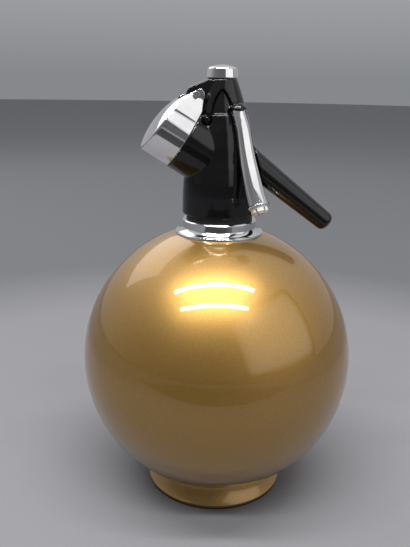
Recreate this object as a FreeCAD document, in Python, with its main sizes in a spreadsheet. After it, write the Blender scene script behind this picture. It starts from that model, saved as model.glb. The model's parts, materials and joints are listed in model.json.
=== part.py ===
import FreeCAD, Part
import math
import os

import Sketcher

# Soda siphon with a round metal bottle, in millimetres.
# +Z is up. The origin is the centre of the foot on the floor. +X points to the lever's side.

doc = FreeCAD.newDocument("soda_siphon")
sheet = doc.addObject("Spreadsheet::Sheet", "Sizes")
parts = []
rows = []

UP = FreeCAD.Vector(0, 0, 1)
ALONG_Y = FreeCAD.Rotation(FreeCAD.Vector(1, 0, 0), -90)
FULL_TURN = 360
NOZZLE_SLOTS = 3
TOUCH = 0.001  # distance that counts as touching
OVERRUN = 1  # how far a cutting tool runs past the face that it cuts


class Size:
    """A length or angle: its value now, and the expression on the sheet that drives it."""

    def __init__(self, text, value):
        self.text = text
        self.value = value

    def __add__(self, other):
        other = as_size(other)
        return Size(f"({self.text} + {other.text})", self.value + other.value)

    def __sub__(self, other):
        other = as_size(other)
        return Size(f"({self.text} - {other.text})", self.value - other.value)

    def __mul__(self, other):
        other = as_size(other)
        return Size(f"({self.text} * {other.text})", self.value * other.value)

    def __truediv__(self, other):
        other = as_size(other)
        return Size(f"({self.text} / {other.text})", self.value / other.value)

    def __neg__(self):
        return Size(f"(0 - {self.text})", -self.value)

    __radd__ = __add__
    __rmul__ = __mul__


def as_size(number):
    """A plain number as a Size."""
    return number if isinstance(number, Size) else Size(f"({number:.6f})", float(number))


def root(number):
    """Square root of a Size."""
    return Size(f"sqrt({number.text})", math.sqrt(number.value))


def sine(angle):
    return Size(f"sin({angle.text} * 1 deg)", math.sin(math.radians(angle.value)))


def cosine(angle):
    return Size(f"cos({angle.text} * 1 deg)", math.cos(math.radians(angle.value)))


# Bottle
globe_radius = 75  # outer radius of the round bottle
globe_wall = 1.5  # wall of the bottle
globe_lift = 3  # gap between the bottle's lowest point and the floor
neck_radius = 15.5  # outer radius of the bottle's neck
neck_wall = 1.6  # wall of the neck
neck_rise = 20  # height of the neck above the globe
neck_depth = 2  # neck tube inside the globe
neck_flange = 2.8  # width of the neck's flange on the globe
neck_flange_height = 1.2  # thickness of that flange
foot_radius = 39  # rim of the foot ring
foot_top_radius = 34  # foot ring where it meets the globe
foot_wall = 2  # wall of the foot ring
foot_edge = 1  # straight edge at the foot ring's rim
foot_sweep = 16  # radius of the foot ring's hollow flare
pad_thickness = 1.2  # rubber pad under the foot
pad_width = 2.6  # width of the rubber pad
pad_inset = 0.3  # pad's step back from the rim
seat_gap = 0.05  # gap between curved faces that are fixed together
running_gap = 0.06  # radial clearance of a turning fit
collar_radius = 20  # chrome collar's band
collar_flare = 23.7  # chrome collar where it sits on the globe
collar_height = 7.8  # height of the collar
collar_wall = 1.2  # sheet thickness of the collar
collar_lip = 1.1  # thickness of the flare's rolled edge
collar_sweep = 5  # radius of the collar's flare
ring_radius = 17.8  # black ring between collar and head
ring_height = 2.8  # height of the black ring

# Head
skirt_radius = 20  # radius of the head's skirt
skirt_straight = 5.2  # straight part of the skirt
skirt_wall = 2.5  # wall of the skirt
skirt_bevel = 0.6  # bevel at the skirt's lower edge
head_height = 69.5  # height of the black head
head_top_radius = 7.6  # radius of the head under the cap
cowl_height = 17.3  # height of the upper cowl
cowl_wall = 1.8  # wall of the upper cowl
core_drop = 3  # step from the cowl's top down to the core's top
arch_half_width = 5.5  # half the width of the arched window
arch_height = 12.6  # height of the arched window above the cowl's edge
arch_radius = 17  # radius of the window's two sides
notch_radius = 2.7  # round notch under the cowl's edge
notch_reach = 7.6  # notch from the middle plane
notch_floor = 10.3  # notch's floor from the head's axis
post_radius = 1.7  # small post in the notch
cap_radius = 8  # radius of the top cap
cap_height = 5.4  # straight height of the top cap
cap_dome = 1.6  # rise of the cap's domed top
cap_spigot = 7.5  # length of the cap's threaded spigot
cap_crown = 1.2  # rise of the cap's crown inside its rounded edge
cap_hollow = 2.2  # hollow in the cap above the head
spigot_wall = 0.9  # wall of the cap's spigot
gasket_height = 2  # thickness of the neck gasket
gasket_bore = 13  # bore radius of the neck gasket
thread_ring_height = 10.8  # height of the threaded ring

# Valve on the head's axis
chamber_radius = 6  # radius of the valve chamber
chamber_height = 10.1  # height of the valve chamber
seat_height = 3.6  # height of the seat's body in the chamber
seat_nose = 1  # height of the seat's raised nose
seat_hole = 2  # radius of the hole in the seat
spigot_length = 7.4  # length of the seat's spigot for the dip tube
spigot_radius = 4.2  # radius of that spigot
washer_radius = 4.2  # radius of the valve washer
washer_height = 2  # thickness of the valve washer
stem_radius = 1.9  # radius of the valve stem
stem_disc = 1.2  # thickness of the stem's disc
stem_tail = 1.4  # radius of the stem's tail in the seat
stem_collar_radius = 4.6  # collar that the lever lifts
stem_collar_height = 3  # height of that collar
stem_guide = 13  # length of the stem above its collar
gland_radius = 4  # radius of the stem's packing ring
spring_bore = 5.2  # radius of the spring's bore
spring_radius = 4.6  # outer radius of the valve spring
spring_wire = 1  # wire of the valve spring
tube_radius = 3  # radius of the dip tube
tube_wall = 0.8  # wall of the dip tube
tube_clear = 4  # gap between the dip tube's end and the bottle's floor
nut_radius = 6.5  # dip tube nut
nut_height = 5.5  # height of the dip tube nut

# Lever
lever_azimuth = 5  # lever's direction seen from above
lever_slope = 37.8  # lever's slope below the horizontal
lever_travel = 7  # angle that the lever is pressed
pivot_reach = 11.5  # lever pivot from the head's axis
pivot_height = 31.5  # lever pivot above the skirt's edge
pivot_radius = 2  # radius of the lever pin
pivot_half_length = 12  # half the length of the lever pin
lever_root = 10.6  # pivot to the middle of the handle's root face
lever_length = 61.5  # pivot to the handle's tip
lever_root_radius = 7.2  # radius of the handle at its root
lever_tip_radius = 5.3  # radius of the handle at its tip
lever_tip_round = 3  # rounding of the tip
lever_root_tilt = 13  # root face's lean away from the head
tang_half = 4.5  # half the height of the tang
tang_width = 8  # width of the tang
fork_height = 4.8  # height of the fork under the stem's collar
fork_reach = 3.6  # fork's reach past the head's axis
lever_clear = 0.9  # clearance around the moving lever
fork_gap = 0.3  # gap between the fork and the stem's collar

# Charging boss and its cover, along the boss axis
boss_azimuth = 187  # boss direction seen from above
boss_slope = 32  # slope of the boss axis above the horizontal
boss_drop = 24.7  # where the boss axis meets the head's axis, below the cowl's edge
boss_reach = 23.2  # head's axis to the boss rim, along the boss
boss_radius = 17  # outer radius of the boss
boss_root = 4  # start of the boss inside the head
socket_radius = 11.5  # outer radius of the charging socket
socket_bore = 9.8  # bore radius of the charging socket
socket_depth = 6.8  # depth of the charging socket
socket_floor = 1.8  # thickness of the socket's floor
charger_seal_height = 2  # thickness of the charging seal
charger_seal_radius = 5  # radius of the charging seal
needle_radius = 1.2  # radius of the piercing pin
needle_length = 4.6  # height of the piercing pin above the socket's floor
needle_point = 2  # length of the piercing pin's point
needle_flange = 3.5  # radius of the piercing pin's flange
needle_flange_height = 1.4  # thickness of that flange
check_reach = 9.5  # check valve from the head's axis
check_bore = 2.6  # radius of the check valve's bore
check_rise = 0.67  # check valve's ceiling above the boss centre
check_ball_radius = 2  # radius of the check valve's ball
check_hole = 1  # radius of the gas passage above the ball
check_travel = 1.5  # travel of the check valve's ball
retainer_height = 3  # height of the check valve's retainer
check_spring_wire = 0.6  # wire of the check valve's spring
check_spring_drop = 1.44  # ball's centre down to the spring's top
gas_hole_length = 5.8  # gas passage above the check valve's ceiling
hood_clear = 0.3  # gap between the closed cover and the boss
hood_radius = 16.8  # outer radius of the cover
hood_wall = 1.2  # sheet thickness of the cover
hood_depth = 18  # height of the cover's domed top above the boss rim
hood_dome_radius = 48.5  # radius of the cover's dome
hood_dome_shift = 5  # dome's highest point from the boss axis
hood_edge_round = 1.2  # rounding between the cover's side and its dome
hood_waist_share = 0.62  # where the round side draws in to the ears, as a share of its radius
hinge_reach = 21.1  # hinge pin from the boss axis
hinge_height = 6.7  # hinge pin above the boss rim
hinge_radius = 1.8  # radius of the hinge pin
ear_radius = 4.2  # radius of the cover's ears
ear_half_width = 8.5  # half the width over the ears
knuckle_radius = 5  # radius of the hinge knuckle
knuckle_half_width = 6.5  # half the width of the hinge lug
hood_rise_reach = 16  # boss axis to where the cover's edge rises to its ears

# Spout
spout_azimuth = -55  # spout's direction seen from above
spout_wall = 0.8  # wall of the spout tube
visor_wall = 1.2  # black visor over the spout's round top
visor_edge = 1.6  # visor's lower edge above the spout's first station
spout_swell = 0.15  # how far the spout's round top stands out of the tube
groove_gap = 0.3  # gap between the spout and its groove
nozzle_length = 3.6  # nozzle below the spout's end
nozzle_depth = 6  # nozzle inside the spout
nozzle_hole = 1.6  # radius of the nozzle's hole
nozzle_slot = 1  # width of the nozzle's slots
duct_radius = 1.5  # radius of the water duct
duct_reach = 9.6  # water duct from the head's axis


def driving(alias, value):
    """Writes one driving dimension to the sheet and returns it."""
    row = len(rows) + 1
    rows.append(alias)
    sheet.set(f"A{row}", alias.replace("_", " "))
    sheet.set(f"B{row}", str(value))
    sheet.setAlias(f"B{row}", alias)
    return Size(f"Sizes.{alias}", float(value))


# Each number named above is a driving dimension: it goes to the sheet and becomes a Size.
for alias, value in dict(globals()).items():
    if isinstance(value, (int, float)) and alias.islower():
        globals()[alias] = driving(alias, value)

# Spout stations: reach from the head's axis, drop below the cowl's edge, radius.
spout_stations = []
for index, station in enumerate(
    [
        (13.9, -1.2, 3.4),
        (15.6, 2.6, 3.4),
        (17.6, 7.1, 3.5),
        (20.6, 16.7, 3.7),
        (24.3, 26.2, 4.1),
        (28.5, 35.6, 4.6),
        (33.0, 43.8, 5.2),
    ]
):
    reach = driving(f"spout_reach_{index}", station[0])
    drop = driving(f"spout_drop_{index}", station[1])
    radius = driving(f"spout_radius_{index}", station[2])
    spout_stations.append((reach, drop, radius))

# Hinge web: corners from the hinge pin, outward along the boss frame's X and up its axis.
web_corners = [(-2, -4.5), (7, -9.5), (12, -5.5), (10.3, -1.3), (1.8, 4.65)]

doc.recompute()

# Heights that follow from the driving dimensions
globe_centre = globe_lift + globe_radius
neck_bore = neck_radius - neck_wall
neck_foot = globe_centre + root(globe_radius * globe_radius - neck_radius * neck_radius)
neck_top = neck_foot + neck_rise
inner_radius = globe_radius - globe_wall
seat_radius = globe_radius + seat_gap
collar_bottom = globe_centre + root(seat_radius * seat_radius - collar_flare * collar_flare)
collar_top = collar_bottom + collar_height
skirt_bottom = collar_top + ring_height
skirt_shoulder = skirt_bottom + skirt_straight
head_top = skirt_bottom + head_height
cowl_bottom = head_top - cowl_height
core_top = head_top - core_drop
socket_ceiling = neck_top + gasket_height
skirt_bore = skirt_radius - skirt_wall

# The head's side is one arc, upright at the skirt's shoulder.
side_rise = head_top - skirt_shoulder
side_inset = skirt_radius - head_top_radius
side_radius = (side_rise * side_rise + side_inset * side_inset) / (side_inset * 2)
core_inset = cowl_wall + seat_gap


def side_at(z, inset=0):
    """The head's radius at height z, or that of a surface set inside it."""
    inset = as_size(inset)
    above = z - skirt_shoulder
    arc = side_radius - inset
    return skirt_radius - side_radius + root(arc * arc - above * above)


chamber_top = socket_ceiling + chamber_height
seat_top = socket_ceiling + seat_height + seat_nose
washer_top = seat_top + washer_height
pivot_z = skirt_bottom + pivot_height
fork_top = pivot_z + tang_half
collar_under = fork_top + fork_gap
stem_collar_top = collar_under + stem_collar_height
cavity_floor = fork_top - fork_height - lever_clear * 2
cap_spigot_end = head_top - cap_spigot
boss_centre = cowl_bottom - boss_drop
check_ceiling = boss_centre + check_rise


def number(value):
    return value.value if isinstance(value, Size) else float(value)


def vector(x, y, z):
    return FreeCAD.Vector(number(x), number(y), number(z))


def turned_about_z(angle):
    """A placement that turns a piece about the head's axis."""
    return FreeCAD.Placement(FreeCAD.Vector(), FreeCAD.Rotation(UP, number(angle)))


def boss_frame():
    """Placement whose +Z is the boss axis and +X points up to the hinge, at the boss rim."""
    azimuth = math.radians(boss_azimuth.value)
    slope = math.radians(boss_slope.value)
    outward = FreeCAD.Vector(math.cos(azimuth), math.sin(azimuth), 0)
    axis = outward * math.cos(slope) + UP * math.sin(slope)
    upward = UP * math.cos(slope) - outward * math.sin(slope)
    rim = UP * boss_centre.value + axis * boss_reach.value
    return FreeCAD.Placement(rim, FreeCAD.Rotation(upward, axis.cross(upward), axis, "XZY"))


def bind(piece, prop, size):
    piece.setExpression(prop, as_size(size).text)


def origin_plane(body, role):
    """The body's own origin plane of that role."""
    return next(f for f in body.Origin.OriginFeatures if f.Role == role)


def arc_centre(start, end, radius, left):
    """Centre of the arc from start to end, on the left or right of that direction."""
    chord = end - start
    middle = (start + end) * 0.5
    height = math.sqrt(max(radius * radius - (chord.Length / 2) ** 2, 0))
    side = FreeCAD.Vector(-chord.y, chord.x, 0).normalize()
    return middle + side * (height if left else -height)


def draw_outline(sketch, corners):
    """Draws a closed outline whose corners are bound to the sheet.

    A corner is (x, y), or (x, y, radius, "left" or "right") where the edge that leaves it is an
    arc with its centre on that side.
    """
    points = [vector(corner[0], corner[1], 0) for corner in corners]
    count = len(corners)
    ends = []
    for i, corner in enumerate(corners):
        start, end = points[i], points[(i + 1) % count]
        if len(corner) == 2:
            sketch.addGeometry(Part.LineSegment(start, end))
            ends.append((1, 2))
            continue
        left = corner[3] == "left"
        centre = arc_centre(start, end, number(corner[2]), left)
        first, last = (start, end) if left else (end, start)
        from_angle = math.atan2(first.y - centre.y, first.x - centre.x)
        to_angle = math.atan2(last.y - centre.y, last.x - centre.x)
        circle = Part.Circle(centre, UP, number(corner[2]))
        sketch.addGeometry(Part.ArcOfCircle(circle, from_angle, to_angle))
        ends.append((1, 2) if left else (2, 1))
    for i, corner in enumerate(corners):
        before = (i - 1) % count
        sketch.addConstraint(
            Sketcher.Constraint("Coincident", before, ends[before][1], i, ends[i][0])
        )
        place_corner(sketch, i, ends[i][0], corner[0], "DistanceX", -2)
        place_corner(sketch, i, ends[i][0], corner[1], "DistanceY", -1)
        if len(corner) > 2:
            bound_constraint(sketch, Sketcher.Constraint("Radius", i, number(corner[2])), corner[2])


def place_corner(sketch, edge, end, size, kind, axis):
    """Fixes one coordinate of a corner."""
    if number(size) == 0:
        sketch.addConstraint(Sketcher.Constraint("PointOnObject", edge, end, axis))
        return
    bound_constraint(sketch, Sketcher.Constraint(kind, -1, 1, edge, end, number(size)), size)


def bound_constraint(sketch, constraint, size):
    index = sketch.addConstraint(constraint)
    sketch.setExpression(f"Constraints[{index}]", as_size(size).text)


def new_sketch(body, name, role, corners):
    sketch = body.newObject("Sketcher::SketchObject", name)
    sketch.AttachmentSupport = [(origin_plane(body, role), "")]
    sketch.MapMode = "FlatFace"
    draw_outline(sketch, corners)
    return sketch


def turned(name, corners):
    """A body of revolution about Z; its outline is (radius, height)."""
    body = doc.addObject("PartDesign::Body", name)
    sketch = new_sketch(body, name + "_outline", "XZ_Plane", corners)
    feature = body.newObject("PartDesign::Revolution", name + "_revolution")
    feature.Profile = sketch
    feature.ReferenceAxis = (sketch, ["V_Axis"])
    feature.Angle = FULL_TURN
    body.Tip = feature
    return body


def prism(name, role, corners, length, both_ways=True):
    """A body padded from an outline on one of its origin planes."""
    body = doc.addObject("PartDesign::Body", name)
    sketch = new_sketch(body, name + "_outline", role, corners)
    feature = body.newObject("PartDesign::Pad", name + "_pad")
    feature.Profile = sketch
    feature.Midplane = both_ways
    bind(feature, "Length", length)
    body.Tip = feature
    return body


def cylinder(name, radius, length, base, rotation=None):
    """A round bar from its base, along Z unless turned."""
    piece = doc.addObject("Part::Cylinder", name)
    bind(piece, "Radius", radius)
    bind(piece, "Height", length)
    piece.Placement = FreeCAD.Placement(base, rotation or FreeCAD.Rotation())
    return piece


def sphere(name, radius, centre):
    piece = doc.addObject("Part::Sphere", name)
    bind(piece, "Radius", radius)
    piece.Placement = FreeCAD.Placement(centre, FreeCAD.Rotation())
    return piece


def box(name, length, width, height, corner):
    piece = doc.addObject("Part::Box", name)
    bind(piece, "Length", length)
    bind(piece, "Width", width)
    bind(piece, "Height", height)
    piece.Placement = FreeCAD.Placement(corner, FreeCAD.Rotation())
    return piece


def fuse(name, pieces):
    piece = doc.addObject("Part::MultiFuse", name)
    piece.Shapes = pieces
    piece.Refine = True
    return piece


def common(name, pieces):
    piece = doc.addObject("Part::MultiCommon", name)
    piece.Shapes = pieces
    return piece


def cut(name, base, tools):
    piece = doc.addObject("Part::Cut", name)
    piece.Base = base
    piece.Tool = tools[0] if len(tools) == 1 else fuse(name + "_tools", tools)
    return piece


def rounded(name, base, radius, chosen):
    """Rounds the edges of a piece that the chosen test picks."""
    doc.recompute()
    piece = doc.addObject("Part::Fillet", name)
    piece.Base = base
    edges = enumerate(base.Shape.Edges, 1)
    piece.Edges = [(i, radius.value, radius.value) for i, edge in edges if chosen(edge)]
    return piece


def middle_of(edge):
    """The point half way along an edge."""
    return edge.valueAt((edge.FirstParameter + edge.LastParameter) / 2)


def moved(piece, placement):
    """Carries a finished piece from its own frame to its place."""
    piece.Placement = placement.multiply(piece.Placement)
    return piece


def keep(piece, label):
    """Makes a piece one of the siphon's sub-parts."""
    piece.Label = label
    parts.append(piece)
    return piece


def ring(name, outer, inner, bottom, top):
    """A plain ring about Z."""
    return turned(name, [(inner, bottom), (outer, bottom), (outer, top), (inner, top)])


def on_sphere(radius, reach):
    """Height of the upper half of a sphere about the globe's centre, at a reach from the axis."""
    return globe_centre + root(radius * radius - reach * reach)


def make_globe():
    """Round bottle: two pressed half spheres, welded face to face at the equator."""
    equator = globe_centre
    mouth = neck_radius + seat_gap
    upper = turned(
        "upper_half",
        [
            (globe_radius, equator, globe_radius, "left"),
            (mouth, on_sphere(globe_radius, mouth)),
            (mouth, on_sphere(inner_radius, mouth), inner_radius, "right"),
            (inner_radius, equator),
        ],
    )
    keep(upper, "bottle_upper_half")
    lower = turned(
        "lower_half",
        [
            (0, globe_lift, globe_radius, "left"),
            (globe_radius, equator),
            (inner_radius, equator, inner_radius, "right"),
            (0, globe_lift + globe_wall),
        ],
    )
    keep(lower, "bottle_lower_half")


def make_neck():
    """Threaded neck, brazed into the mouth by a flange that the collar covers."""
    bottom = on_sphere(inner_radius, neck_radius) - neck_depth
    flange = neck_radius + neck_flange
    flange_top = on_sphere(seat_radius, neck_radius) + neck_flange_height
    neck = turned(
        "neck",
        [
            (neck_bore, bottom),
            (neck_radius, bottom),
            (neck_radius, on_sphere(seat_radius, neck_radius), seat_radius, "right"),
            (flange, on_sphere(seat_radius, flange)),
            (flange, flange_top),
            (neck_radius, flange_top),
            (neck_radius, neck_top),
            (neck_bore, neck_top),
        ],
    )
    keep(neck, "bottle_neck")


def make_foot():
    """Flared foot ring that carries the globe, and the rubber pad under its rim."""
    inside_top = foot_top_radius - foot_wall
    inside_bottom = foot_radius - foot_wall * 2
    under_globe = globe_centre - root(seat_radius * seat_radius - foot_top_radius * foot_top_radius)
    inside_globe = globe_centre - root(seat_radius * seat_radius - inside_top * inside_top)
    foot = turned(
        "foot",
        [
            (inside_bottom, pad_thickness),
            (foot_radius, pad_thickness),
            (foot_radius, pad_thickness + foot_edge, foot_sweep, "right"),
            (foot_top_radius, under_globe, seat_radius, "right"),
            (inside_top, inside_globe, foot_sweep, "left"),
        ],
    )
    keep(foot, "bottle_foot_ring")
    outer = foot_radius - pad_inset
    keep(ring("pad", outer, outer - pad_width, as_size(0), pad_thickness), "bottle_foot_pad")


def make_collar():
    """Pressed chrome collar round the neck, flared onto the globe."""
    bore = neck_radius + seat_gap
    inside_flare = collar_flare - collar_wall
    inside_seat = on_sphere(seat_radius, inside_flare)
    inside_band = collar_radius - collar_wall
    inside_shoulder = inside_seat + collar_sweep / 2
    shoulder = collar_bottom + collar_lip + collar_sweep / 2
    collar = turned(
        "collar",
        [
            (bore, collar_top),
            (bore, collar_top - collar_wall),
            (inside_band, collar_top - collar_wall),
            (inside_band, inside_shoulder),
            (inside_flare, inside_seat, seat_radius, "right"),
            (collar_flare, collar_bottom),
            (collar_flare, collar_bottom + collar_lip, collar_sweep, "right"),
            (collar_radius, shoulder),
            (collar_radius, collar_top - skirt_bevel),
            (collar_radius - skirt_bevel, collar_top),
        ],
    )
    keep(collar, "neck_collar")
    keep(ring("neck_ring", ring_radius, bore, collar_top, skirt_bottom), "neck_rubber_ring")


def spout_point(station):
    """Centre of a spout station, in the plane of azimuth 0."""
    reach, drop, _ = station
    return vector(reach, 0, cowl_bottom - drop)


def spout_direction(index):
    """Direction of the spout at a station, down its length."""
    before = spout_point(spout_stations[max(index - 1, 0)])
    after = spout_point(spout_stations[min(index + 1, len(spout_stations) - 1)])
    return (after - before).normalize()


def spout_form(name, extra, first=0, last=None):
    """A solid along the spout whose radius is the spout's own plus extra."""
    chosen = range(first, len(spout_stations) if last is None else last + 1)
    sections = []
    for index in chosen:
        circle = doc.addObject("Part::Circle", f"{name}_section_{index}")
        bind(circle, "Radius", spout_stations[index][2] + extra)
        rotation = FreeCAD.Rotation(UP, spout_direction(index))
        circle.Placement = FreeCAD.Placement(spout_point(spout_stations[index]), rotation)
        sections.append(circle)
    form = doc.addObject("Part::Loft", name)
    form.Sections = sections
    form.Solid = True
    form.Ruled = False
    return moved(form, turned_about_z(spout_azimuth))


def make_spout():
    """Chrome spout tube that widens to its end, and the white nozzle in it."""
    outside = fuse(
        "spout_solid", [spout_form("spout_outside", 0), spout_ball("spout_top", spout_swell)]
    )
    inside = fuse(
        "spout_bore",
        [
            spout_form("spout_inside", -spout_wall),
            spout_ball("spout_top_bore", spout_swell - spout_wall),
        ],
    )
    inlet = moved(
        cylinder(
            "spout_inlet",
            duct_radius,
            spout_stations[0][0],
            spout_point(spout_stations[0]),
            FreeCAD.Rotation(FreeCAD.Vector(0, 1, 0), -90),
        ),
        turned_about_z(spout_azimuth),
    )
    keep(cut("spout", outside, [inside, inlet]), "spout_tube")
    end = len(spout_stations) - 1
    nozzle_radius = spout_stations[end][2] - spout_wall - seat_gap * 2
    inside_radius = spout_stations[end - 1][2] - spout_wall - seat_gap * 4
    tip = nozzle_radius - nozzle_slot
    nozzle = turned(
        "nozzle_blank",
        [
            (nozzle_hole, -nozzle_depth),
            (inside_radius, -nozzle_depth),
            (nozzle_radius, as_size(0)),
            (nozzle_radius, nozzle_length - nozzle_slot),
            (tip, nozzle_length),
            (nozzle_hole, nozzle_length),
        ],
    )
    slots = []
    for index in range(NOZZLE_SLOTS):
        slot = box(
            f"nozzle_slot_{index}",
            nozzle_radius * 4,
            nozzle_slot,
            nozzle_length,
            vector(nozzle_radius * -2, nozzle_slot / -2, nozzle_slot),
        )
        slots.append(moved(slot, turned_about_z(FULL_TURN / 2 / NOZZLE_SLOTS * index)))
    nozzle = cut("nozzle", nozzle, slots)
    rotation = FreeCAD.Rotation(UP, spout_direction(end))
    place = FreeCAD.Placement(spout_point(spout_stations[end]), rotation)
    keep(moved(nozzle, turned_about_z(spout_azimuth).multiply(place)), "spout_nozzle")


def spout_ball(name, extra):
    """A ball about the spout's round top whose radius is the spout's own plus extra."""
    ball = sphere(name, spout_stations[0][2] + extra, spout_point(spout_stations[0]))
    return moved(ball, turned_about_z(spout_azimuth))


def visor():
    """The black visor that covers the spout's round top."""
    reach = spout_stations[0][0]
    edge = cowl_bottom - spout_stations[0][1] + visor_edge
    above = box(
        "above_visor_edge", reach * 4, reach * 4, reach, vector(reach * -2, reach * -2, edge)
    )
    return common("visor", [spout_ball("visor_ball", groove_gap + visor_wall), above])


def boss_cylinder(name, radius, from_rim, length):
    """A bar about the boss axis that starts at a height from the boss rim."""
    return moved(cylinder(name, radius, length, vector(0, 0, from_rim)), boss_frame())


def lever_profile(grow, extra_reach):
    """Side outline of the lever's tang and fork, grown by a clearance."""
    run, fall = cosine(lever_slope), sine(lever_slope)
    half = tang_half + grow
    out = lever_root + extra_reach
    end_x, end_z = pivot_reach + run * out, pivot_z - fall * out
    tip = -fork_reach - grow
    top = fork_top + grow
    under = fork_top - fork_height - grow
    upper_z = pivot_z + run * half
    lower_x = pivot_reach - fall * half
    lower_z = pivot_z - run * half
    return [
        (tip, under),
        (lower_x - half + grow, under),
        (lower_x, lower_z),
        (end_x - fall * half, end_z - run * half),
        (end_x + fall * half, end_z + run * half),
        (pivot_reach + fall * half, upper_z),
        (pivot_reach, top),
        (tip, top),
    ]


def make_lever():
    """Black handle with a forked tang that lifts the valve stem, and its pin."""
    tang = prism("tang", "XZ_Plane", lever_profile(as_size(0), tang_half), tang_width)
    length = lever_length
    handle = turned(
        "handle_blank",
        [
            (0, as_size(0)),
            (lever_root_radius, as_size(0)),
            (lever_tip_radius, length - lever_tip_round, lever_tip_round, "left"),
            (lever_tip_radius - lever_tip_round, length),
            (0, length),
        ],
    )
    slope = FreeCAD.Rotation(FreeCAD.Vector(0, 1, 0), 90 + lever_slope.value)
    pivot = vector(pivot_reach, 0, pivot_z)
    handle = moved(handle, FreeCAD.Placement(pivot, slope))
    reach = lever_root_radius * 3
    mask = box("root_mask", reach, reach * 2, reach * 2, vector(-reach, -reach, -reach))
    run = math.cos(math.radians(lever_slope.value)) * lever_root.value
    fall = math.sin(math.radians(lever_slope.value)) * lever_root.value
    lean = FreeCAD.Rotation(FreeCAD.Vector(0, 1, 0), -lever_root_tilt.value)
    mask = moved(mask, FreeCAD.Placement(pivot + FreeCAD.Vector(run, 0, -fall), lean))
    handle = cut("handle", handle, [mask])
    solid = fuse("lever_solid", [tang, handle])
    pin_hole = cylinder(
        "lever_pin_hole",
        pivot_radius + running_gap,
        tang_width * 2,
        vector(pivot_reach, -tang_width, pivot_z),
        ALONG_Y,
    )
    fork_width = (stem_radius + fork_gap) * 2
    slot = box(
        "fork_slot",
        fork_reach * 2 + stem_radius,
        fork_width,
        fork_height * 3,
        vector(-fork_reach * 2, fork_width / -2, fork_top - fork_height * 2),
    )
    lever = cut("lever", solid, [pin_hole, slot])
    keep(moved(lever, turned_about_z(lever_azimuth)), "lever_handle")
    pin = cylinder(
        "lever_pin",
        pivot_radius,
        pivot_half_length * 2,
        vector(pivot_reach, -pivot_half_length, pivot_z),
        ALONG_Y,
    )
    keep(moved(pin, turned_about_z(lever_azimuth)), "lever_pin")


def lever_cavity():
    """Room in the head for the lever's tang, its swing and the stem's collar."""
    swing = lever_clear + sine(lever_travel) * lever_root
    width = tang_width + lever_clear
    profile = lever_profile(swing, skirt_radius)
    return moved(prism("lever_cavity", "XZ_Plane", profile, width), turned_about_z(lever_azimuth))


def make_head():
    """Black moulded head: skirt, core, charging boss, and every bore in it."""
    blank = turned(
        "head_blank",
        [
            (0, socket_ceiling),
            (skirt_bore, socket_ceiling),
            (skirt_bore, skirt_bottom),
            (skirt_radius - skirt_bevel, skirt_bottom),
            (skirt_radius, skirt_bottom + skirt_bevel),
            (skirt_radius, skirt_shoulder, side_radius, "left"),
            (side_at(cowl_bottom), cowl_bottom),
            (side_at(cowl_bottom, core_inset), cowl_bottom, side_radius - core_inset, "left"),
            (side_at(core_top, core_inset), core_top),
            (0, core_top),
        ],
    )
    boss_length = boss_reach - boss_root
    boss = boss_cylinder("boss", boss_radius, -boss_length, boss_length)
    solid = fuse("head_solid", [blank, boss, visor()])
    bore = seat_gap / 2
    socket_length = socket_depth + socket_floor
    needle_depth = socket_length + needle_flange_height
    check = turned_about_z(boss_azimuth)
    tools = [
        cylinder("chamber", chamber_radius + bore, chamber_height, vector(0, 0, socket_ceiling)),
        cylinder(
            "gland_bore",
            gland_radius + bore,
            cavity_floor - chamber_top + OVERRUN,
            vector(0, 0, chamber_top),
        ),
        cylinder("spring_bore", spring_bore, head_top - fork_top, vector(0, 0, fork_top)),
        lever_cavity(),
        moved(
            cylinder(
                "pin_bore",
                pivot_radius + bore,
                pivot_half_length + skirt_radius,
                vector(pivot_reach, -pivot_half_length - bore, pivot_z),
                ALONG_Y,
            ),
            turned_about_z(lever_azimuth),
        ),
        boss_cylinder("socket_bore", socket_radius + bore, -socket_length, socket_length * 2),
        boss_cylinder("needle_bore", needle_flange + bore, -needle_depth, needle_depth),
        moved(
            cylinder(
                "check_bore",
                check_bore,
                check_ceiling - socket_ceiling,
                vector(check_reach, 0, socket_ceiling),
            ),
            check,
        ),
        moved(
            cylinder(
                "gas_hole",
                check_hole,
                gas_hole_length + OVERRUN,
                vector(check_reach, 0, check_ceiling - OVERRUN),
            ),
            check,
        ),
        spout_form("spout_groove", groove_gap),
        spout_ball("spout_top_room", groove_gap),
        moved(
            cylinder(
                "water_duct",
                duct_radius,
                cowl_bottom - spout_stations[0][1] - chamber_top + duct_radius,
                vector(duct_reach, 0, chamber_top - duct_radius),
            ),
            turned_about_z(spout_azimuth),
        ),
        cylinder(
            "notch",
            notch_radius,
            skirt_radius,
            vector(-notch_reach, -skirt_radius - notch_floor, cowl_bottom - notch_radius),
            ALONG_Y,
        ),
    ]
    head = cut("head_bored", solid, tools)
    post_length = side_at(cowl_bottom) - notch_floor
    post = cylinder(
        "post",
        post_radius,
        post_length,
        vector(-notch_reach, -notch_floor - post_length + OVERRUN, cowl_bottom - notch_radius),
        ALONG_Y,
    )
    keep(fuse("head", [head, post]), "head_body")


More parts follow.
